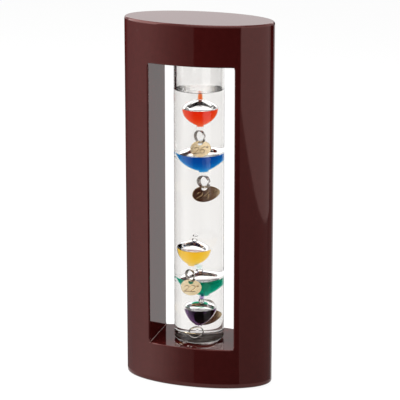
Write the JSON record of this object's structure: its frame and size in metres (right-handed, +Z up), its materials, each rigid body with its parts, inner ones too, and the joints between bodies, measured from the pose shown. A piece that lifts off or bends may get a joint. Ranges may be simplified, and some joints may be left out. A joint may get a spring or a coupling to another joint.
{
  "type": "float thermometer",
  "caption": "Sealed glass tube of clear liquid in an oval wooden frame, with coloured glass floats on hooks, split rings and round brass tags that rise and sink with temperature.",
  "frame": {"origin": "middle of the underside, on the surface that the frame stands on", "axes": "+X to the right along the oval's long axis, +Y to the back through the window, +Z up along the tube"},
  "size_m": [0.09, 0.0424, 0.2208],
  "materials": {
    "lacquered_wood": "dark red-brown gloss lacquer",
    "plain_wood": "unfinished beech",
    "felt": "pressed felt",
    "clear_pad": "clear soft plastic",
    "foam": "soft foam",
    "clear_glass": "clear, polished",
    "orange_fill": "coloured liquid",
    "blue_fill": "coloured liquid",
    "yellow_fill": "coloured liquid",
    "green_fill": "coloured liquid",
    "purple_fill": "coloured liquid",
    "ring_steel": "nickel-plated, smooth",
    "tag_brass": "satin, with an engraved numeral"
  },
  "bodies": {
    "frame": {"base_block": "lacquered_wood", "left_post": "lacquered_wood", "right_post": "lacquered_wood", "top_block": "lacquered_wood", "post_dowels": "plain_wood", "base_felt": "felt", "tube_pad": "clear_pad", "tube_collar": "foam", "glass_tube": "clear_glass"},
    "float_26": {"bulb_26": "clear_glass", "fill_26": "orange_fill"},
    "ring_26": {"ring_26": "ring_steel"},
    "tag_26": {"tag_26": "tag_brass"},
    "float_24": {"bulb_24": "clear_glass", "fill_24": "blue_fill"},
    "ring_24": {"ring_24": "ring_steel"},
    "tag_24": {"tag_24": "tag_brass"},
    "float_22": {"bulb_22": "clear_glass", "fill_22": "yellow_fill"},
    "ring_22": {"ring_22": "ring_steel"},
    "tag_22": {"tag_22": "tag_brass"},
    "float_20": {"bulb_20": "clear_glass", "fill_20": "green_fill"},
    "ring_20": {"ring_20": "ring_steel"},
    "tag_20": {"tag_20": "tag_brass"},
    "float_18": {"bulb_18": "clear_glass", "fill_18": "purple_fill"},
    "ring_18": {"ring_18": "ring_steel"},
    "tag_18": {"tag_18": "tag_brass"}
  },
  "joints": [
    {"name": "lift_26", "type": "slide", "parent": "frame", "child": "float_26", "axis": [0, 0, 1], "range_m": [0, 0.008]},
    {"name": "ring_swing_26", "type": "hinge", "parent": "float_26", "child": "ring_26", "pos_m": [0.00149, -0.00352, 0.1561], "axis": [0.7771, -0.6293, 0], "range_deg": [-18, 2]},
    {"name": "tag_swing_26", "type": "hinge", "parent": "ring_26", "child": "tag_26", "pos_m": [0.00149, -0.00352, 0.1477], "axis": [-0.6018, 0.7986, 0], "range_deg": [-2, 18]},
    {"name": "lift_24", "type": "slide", "parent": "frame", "child": "float_24", "axis": [0, 0, 1], "range_m": [-0.008, 0]},
    {"name": "ring_swing_24", "type": "hinge", "parent": "float_24", "child": "ring_24", "pos_m": [0.00029, 0.00541, 0.12705], "axis": [0.7431, -0.6691, 0], "range_deg": [-12, 12]},
    {"name": "tag_swing_24", "type": "hinge", "parent": "ring_24", "child": "tag_24", "pos_m": [0.00029, 0.00541, 0.11865], "axis": [-0.7314, 0.682, 0], "range_deg": [-12, 12]},
    {"name": "lift_22", "type": "slide", "parent": "frame", "child": "float_22", "axis": [0, 0, 1], "range_m": [0, 0.008]},
    {"name": "ring_swing_22", "type": "hinge", "parent": "float_22", "child": "ring_22", "pos_m": [-0.00269, -0.00475, 0.07077], "axis": [0.6561, -0.7547, 0], "range_deg": [-12, 2]},
    {"name": "tag_swing_22", "type": "hinge", "parent": "ring_22", "child": "tag_22", "pos_m": [-0.00269, -0.00475, 0.06237], "axis": [-0.2756, 0.9613, 0], "range_deg": [-5, 6]},
    {"name": "lift_20", "type": "slide", "parent": "frame", "child": "float_20", "axis": [0, 0, 1], "range_m": [0, 0.0015]},
    {"name": "ring_swing_20", "type": "hinge", "parent": "float_20", "child": "ring_20", "pos_m": [0.0006, 0.00552, 0.05007], "axis": [0.9703, -0.2419, 0], "range_deg": [0, 6]},
    {"name": "tag_swing_20", "type": "hinge", "parent": "ring_20", "child": "tag_20", "pos_m": [0.0006, 0.00552, 0.04167], "axis": [-0.7547, 0.6561, 0], "range_deg": [-5, 4]},
    {"name": "lift_18", "type": "slide", "parent": "frame", "child": "float_18", "axis": [0, 0, 1], "range_m": [0, 0.0006]},
    {"name": "ring_swing_18", "type": "hinge", "parent": "float_18", "child": "ring_18", "pos_m": [0.0006, -0.00439, 0.03386], "axis": [0.9816, -0.1908, 0], "range_deg": [-3, 2]},
    {"name": "tag_swing_18", "type": "hinge", "parent": "ring_18", "child": "tag_18", "pos_m": [-0.00325, -0.006, 0.03041], "axis": [0.0204, 0.2917, 0.9563], "range_deg": [-6, 6]}
  ]
}
